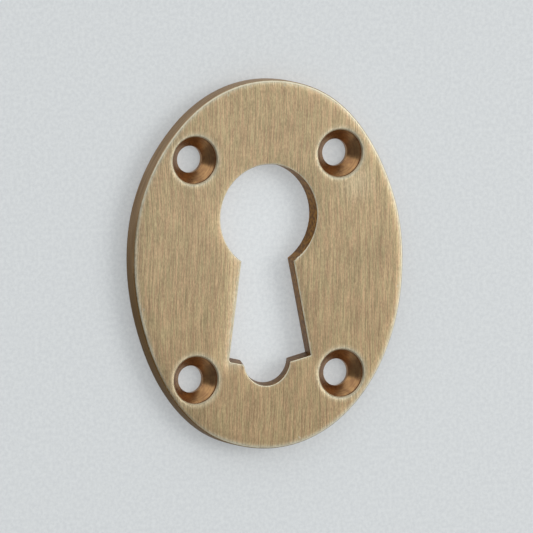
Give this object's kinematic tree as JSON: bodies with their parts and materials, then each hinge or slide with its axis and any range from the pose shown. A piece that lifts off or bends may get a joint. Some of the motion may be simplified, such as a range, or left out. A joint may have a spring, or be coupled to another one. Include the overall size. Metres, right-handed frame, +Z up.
{
  "type": "keyhole escutcheon",
  "caption": "Flat oval brass keyhole escutcheon with a lever-key opening, countersunk screw holes and a softly rounded front edge.",
  "frame": {"origin": "centre of the four screw holes, on the back face that lies against the door", "axes": "+X across the plate, to the right as its front is looked at, +Y into the door, +Z up the plate towards the round part of the keyhole; the front face looks towards -Y"},
  "size_m": [0.0358, 0.0024, 0.045],
  "materials": {
    "brass": "satin, lightly aged, with a fine upright grain"
  },
  "bodies": {
    "root": {"escutcheon_plate": "brass"}
  },
  "joints": []
}
